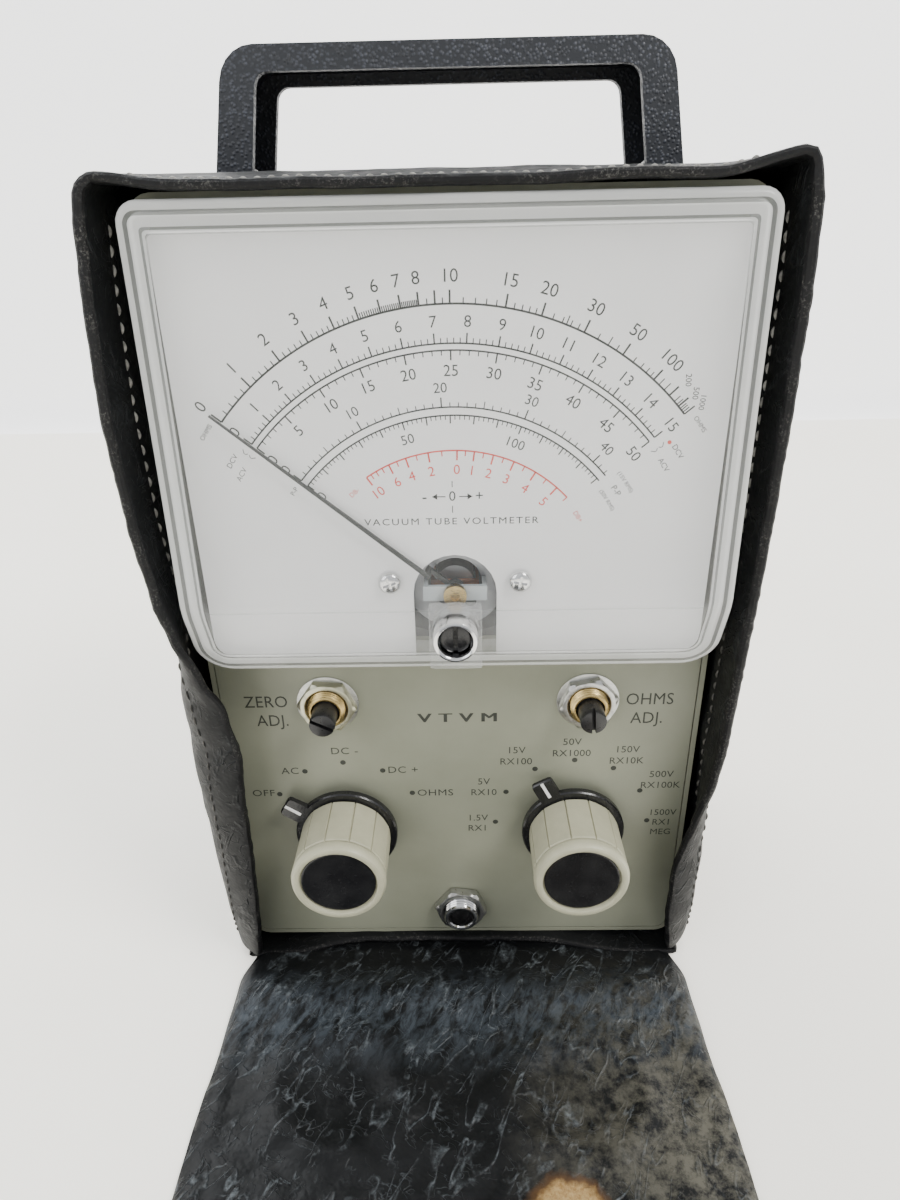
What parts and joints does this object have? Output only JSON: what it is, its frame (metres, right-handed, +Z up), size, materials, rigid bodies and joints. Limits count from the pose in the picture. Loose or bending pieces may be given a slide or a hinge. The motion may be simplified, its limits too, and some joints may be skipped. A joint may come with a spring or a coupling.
{
  "type": "vacuum tube voltmeter",
  "caption": "Portable bench meter with a large dial, rotary function and range knobs and adjusters, in a leatherette case with a fold-down front flap and carrying handle.",
  "frame": {"origin": "centre of the cabinet's footprint, on the surface the case stands on", "axes": "+X to the user's right, +Y away from the user, +Z up"},
  "size_m": [0.126, 0.3057, 0.2198],
  "materials": {
    "black_leatherette": "black grained leatherette, glossy on the creases",
    "black_plastic": "black plastic with a fine pebble grain",
    "olive_enamel": "satin olive-beige enamel on steel",
    "beige_plastic": "satin beige moulded plastic",
    "gloss_black": "glossy black plastic",
    "clear_plastic": "clear moulded polystyrene",
    "dial_white": "matt white printed plate",
    "needle_black": "thin black lacquer",
    "zinc_steel": "zinc plate",
    "brass": "machined brass",
    "chrome": "bright plate",
    "grey_steel": "dull grey steel",
    "circuit_board": "brown phenolic board",
    "glass": "clear glass envelope",
    "copper": "enamelled copper winding",
    "rubber": "black rubber",
    "cell_can": "plain metal-jacketed dry cell"
  },
  "bodies": {
    "instrument": {"case_bottom": "black_leatherette", "case_left_side": "black_leatherette", "case_right_side": "black_leatherette", "case_top": "black_leatherette", "case_back": "black_leatherette", "flap_hinge_strip": "black_leatherette", "carrying_handle": "black_plastic", "handle_left_screw": "zinc_steel", "handle_right_screw": "zinc_steel", "cabinet_shell": "olive_enamel", "front_panel": "olive_enamel", "rear_cover": "olive_enamel", "rear_cover_left_screw": "zinc_steel", "rear_cover_right_screw": "zinc_steel", "cord_grommet": "rubber", "meter_cover": "clear_plastic", "meter_zero_collar": "chrome", "meter_body": "black_plastic", "dial_plate": "dial_white", "dial_left_screw": "chrome", "dial_right_screw": "chrome", "magnet_yoke": "grey_steel", "moving_coil_core": "grey_steel", "pivot_bridge": "grey_steel", "pivot_jewel_screw": "brass", "function_switch": "grey_steel", "function_switch_nut": "zinc_steel", "range_switch": "grey_steel", "range_switch_nut": "zinc_steel", "zero_adjust_control": "grey_steel", "zero_adjust_bushing": "brass", "zero_adjust_nut": "zinc_steel", "ohms_adjust_control": "grey_steel", "ohms_adjust_bushing": "brass", "ohms_adjust_nut": "zinc_steel", "probe_jack": "chrome", "probe_jack_nut": "zinc_steel", "chassis_shelf": "grey_steel", "circuit_board": "circuit_board", "power_transformer": "grey_steel", "dual_triode_socket": "black_plastic", "dual_triode_tube": "glass", "dual_diode_socket": "black_plastic", "dual_diode_tube": "glass", "ohms_cell": "cell_can", "cell_holder": "black_plastic"},
    "function_control": {"function_knob": "beige_plastic", "function_knob_skirt": "gloss_black", "function_knob_insert": "gloss_black", "function_switch_shaft": "brass"},
    "range_control": {"range_knob": "beige_plastic", "range_knob_skirt": "gloss_black", "range_knob_insert": "gloss_black", "range_switch_shaft": "brass"},
    "zero_adjuster": {"zero_adjust_shaft": "gloss_black"},
    "ohms_adjuster": {"ohms_adjust_shaft": "gloss_black"},
    "needle_and_coil": {"meter_needle": "needle_black", "moving_coil": "copper"},
    "meter_zero_adjuster": {"meter_zero_screw": "gloss_black"},
    "flap": {"front_flap": "black_leatherette"}
  },
  "joints": [
    {"name": "function_turn", "type": "hinge", "parent": "instrument", "child": "function_control", "pos_m": [-0.0295, -0.05, 0.0436], "axis": [0, 1, 0], "range_deg": [0, 120]},
    {"name": "range_turn", "type": "hinge", "parent": "instrument", "child": "range_control", "pos_m": [0.0295, -0.05, 0.0436], "axis": [0, 1, 0], "range_deg": [-60, 120]},
    {"name": "zero_adjust_turn", "type": "hinge", "parent": "instrument", "child": "zero_adjuster", "pos_m": [-0.0318, -0.05, 0.0816], "axis": [0, 1, 0], "range_deg": [-150, 150]},
    {"name": "ohms_adjust_turn", "type": "hinge", "parent": "instrument", "child": "ohms_adjuster", "pos_m": [0.0318, -0.05, 0.0816], "axis": [0, 1, 0], "range_deg": [-150, 150]},
    {"name": "needle_swing", "type": "hinge", "parent": "instrument", "child": "needle_and_coil", "pos_m": [0, -0.045, 0.1151], "axis": [0, 1, 0], "range_deg": [0, 98], "stiffness_Nm_per_rad": 0.00002},
    {"name": "meter_zero_turn", "type": "hinge", "parent": "instrument", "child": "meter_zero_adjuster", "pos_m": [0, -0.055, 0.1092], "axis": [0, 1, 0], "range_deg": [-180, 180]},
    {"name": "flap_fold", "type": "hinge", "parent": "instrument", "child": "flap", "pos_m": [0, -0.06615, 0.0018], "axis": [-1, 0, 0], "range_deg": [0, 90]}
  ]
}
